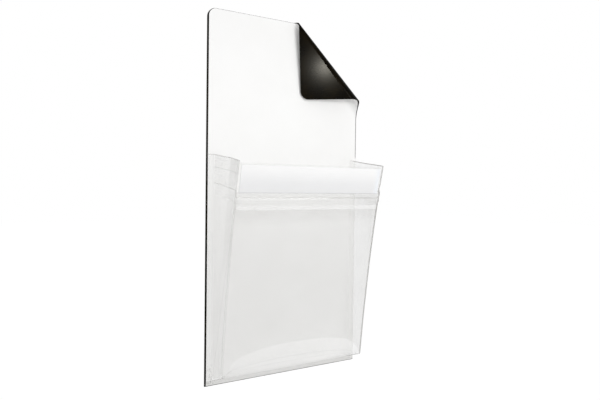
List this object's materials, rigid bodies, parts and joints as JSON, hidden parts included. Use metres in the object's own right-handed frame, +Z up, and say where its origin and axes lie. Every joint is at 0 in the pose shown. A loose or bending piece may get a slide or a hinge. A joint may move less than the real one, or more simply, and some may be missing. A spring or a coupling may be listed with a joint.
{
  "type": "magnetic document pocket",
  "caption": "Tall white-faced magnetic sheet with one upper corner turned over, and a clear gusseted vinyl pocket for papers welded to its lower part.",
  "frame": {"origin": "centre of the magnetic sheet's back face, which lies on the steel that holds it", "axes": "+Y into the steel, -Y towards the viewer, +Z up along the sheet's long side, +X to the viewer's right"},
  "size_m": [0.2423, 0.081, 0.4965],
  "materials": {
    "ferrite_rubber": "satin",
    "white_vinyl": "satin",
    "clear_vinyl": "gloss",
    "strip_white": "satin"
  },
  "bodies": {
    "backing": {"magnet_sheet": "ferrite_rubber", "face_sheet": "white_vinyl", "side_flange_left": "clear_vinyl", "side_flange_right": "clear_vinyl", "bottom_flange": "clear_vinyl", "gusset_left": "clear_vinyl", "gusset_right": "clear_vinyl", "gusset_hem_left": "clear_vinyl", "gusset_hem_right": "clear_vinyl"},
    "front": {"front_panel": "clear_vinyl", "header_strip": "strip_white", "header_hem": "clear_vinyl", "corner_seam_left": "clear_vinyl", "corner_seam_right": "clear_vinyl"},
    "corner_1": {"magnet_bend_1": "ferrite_rubber", "face_bend_1": "white_vinyl"},
    "corner_2": {"magnet_bend_2": "ferrite_rubber", "face_bend_2": "white_vinyl"},
    "corner_3": {"magnet_bend_3": "ferrite_rubber", "face_bend_3": "white_vinyl"},
    "corner_4": {"magnet_bend_4": "ferrite_rubber", "face_bend_4": "white_vinyl"},
    "corner_5": {"magnet_bend_5": "ferrite_rubber", "face_bend_5": "white_vinyl"},
    "corner_flap": {"magnet_flap": "ferrite_rubber", "face_flap": "white_vinyl"}
  },
  "joints": [
    {"name": "front_swing", "type": "hinge", "parent": "backing", "child": "front", "pos_m": [0, -0.00295, -0.24035], "axis": [-1, 0, 0], "range_deg": [0, 13.5], "deforming": ["gusset_left", "gusset_right", "gusset_hem_left", "gusset_hem_right"]},
    {"name": "corner_unroll_1", "type": "hinge", "parent": "backing", "child": "corner_1", "pos_m": [0.00856, -0.0024, 0.24765], "axis": [-0.6694, 0, 0.7429], "range_deg": [0, 32.5]},
    {"name": "corner_unroll_2", "type": "hinge", "parent": "corner_1", "child": "corner_2", "pos_m": [0.01032, -0.00317, 0.2475], "axis": [-0.6913, 0.0191, 0.7224], "range_deg": [0, 32.5]},
    {"name": "corner_unroll_3", "type": "hinge", "parent": "corner_2", "child": "corner_3", "pos_m": [0.01174, -0.00453, 0.24692], "axis": [-0.7013, 0.0514, 0.711], "range_deg": [0, 32.5]},
    {"name": "corner_unroll_4", "type": "hinge", "parent": "corner_3", "child": "corner_4", "pos_m": [0.01266, -0.00614, 0.2457], "axis": [-0.6963, 0.0866, 0.7125], "range_deg": [0, 32.5]},
    {"name": "corner_unroll_5", "type": "hinge", "parent": "corner_4", "child": "corner_5", "pos_m": [0.0131, -0.00751, 0.24378], "axis": [-0.6778, 0.1137, 0.7264], "range_deg": [0, 32.5]},
    {"name": "corner_unroll_6", "type": "hinge", "parent": "corner_5", "child": "corner_flap", "pos_m": [0.01325, -0.00824, 0.24128], "axis": [-0.6517, 0.1242, 0.7482], "range_deg": [0, 32.5]}
  ],
  "couplings": [
    {"joint": "corner_unroll_2", "follows": "corner_unroll_1", "ratio": 1},
    {"joint": "corner_unroll_3", "follows": "corner_unroll_1", "ratio": 1},
    {"joint": "corner_unroll_4", "follows": "corner_unroll_1", "ratio": 1},
    {"joint": "corner_unroll_5", "follows": "corner_unroll_1", "ratio": 1},
    {"joint": "corner_unroll_6", "follows": "corner_unroll_1", "ratio": 1}
  ]
}
